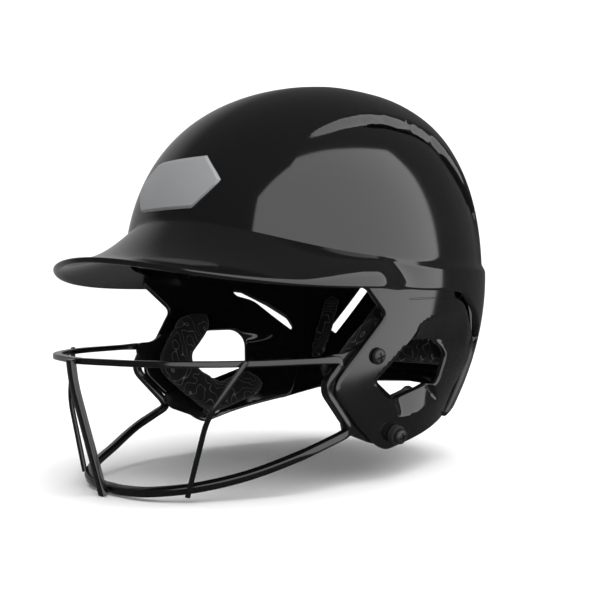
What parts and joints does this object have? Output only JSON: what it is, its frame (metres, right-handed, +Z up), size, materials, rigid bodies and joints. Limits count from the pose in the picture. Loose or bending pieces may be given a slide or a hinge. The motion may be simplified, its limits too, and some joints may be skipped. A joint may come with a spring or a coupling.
{
  "type": "batting helmet",
  "caption": "Two-flap batting helmet with a bill, ear holes, padded liner and a bolted wire face guard with upright bars.",
  "frame": {"origin": "middle of the head cavity at brow level, where the wearer's head holds the helmet", "axes": "+X forward, the way the bill points; +Y to the wearer's left; +Z up towards the crown"},
  "size_m": [0.2991, 0.2104, 0.2375],
  "materials": {
    "shell": "gloss",
    "badge": "satin",
    "pad": "matte",
    "guard": "gloss",
    "tab": "satin",
    "screw": "satin",
    "nut": "satin",
    "rubber": "matte"
  },
  "bodies": {
    "root": {"outer_shell": "shell", "forehead_badge": "badge", "forehead_pad": "pad", "rear_pad": "pad", "crown_pad": "pad", "guard_upper_rail": "guard", "guard_lower_rail": "guard", "guard_centre_bar": "guard", "left_guard_bracket": "guard", "right_guard_bracket": "guard", "left_guard_side_bar": "guard", "right_guard_side_bar": "guard", "left_upper_guard_tab": "tab", "right_upper_guard_tab": "tab", "left_lower_guard_tab": "tab", "right_lower_guard_tab": "tab", "left_upper_screw": "screw", "right_upper_screw": "screw", "left_lower_screw": "screw", "right_lower_screw": "screw", "left_upper_nut": "nut", "right_upper_nut": "nut", "left_lower_nut": "nut", "right_lower_nut": "nut", "left_lower_spacer": "rubber", "right_lower_spacer": "rubber", "left_temple_pad": "pad", "right_temple_pad": "pad", "left_rear_side_pad": "pad", "right_rear_side_pad": "pad", "left_neck_side_pad": "pad", "right_neck_side_pad": "pad", "left_jaw_pad": "pad", "right_jaw_pad": "pad"}
  },
  "joints": []
}
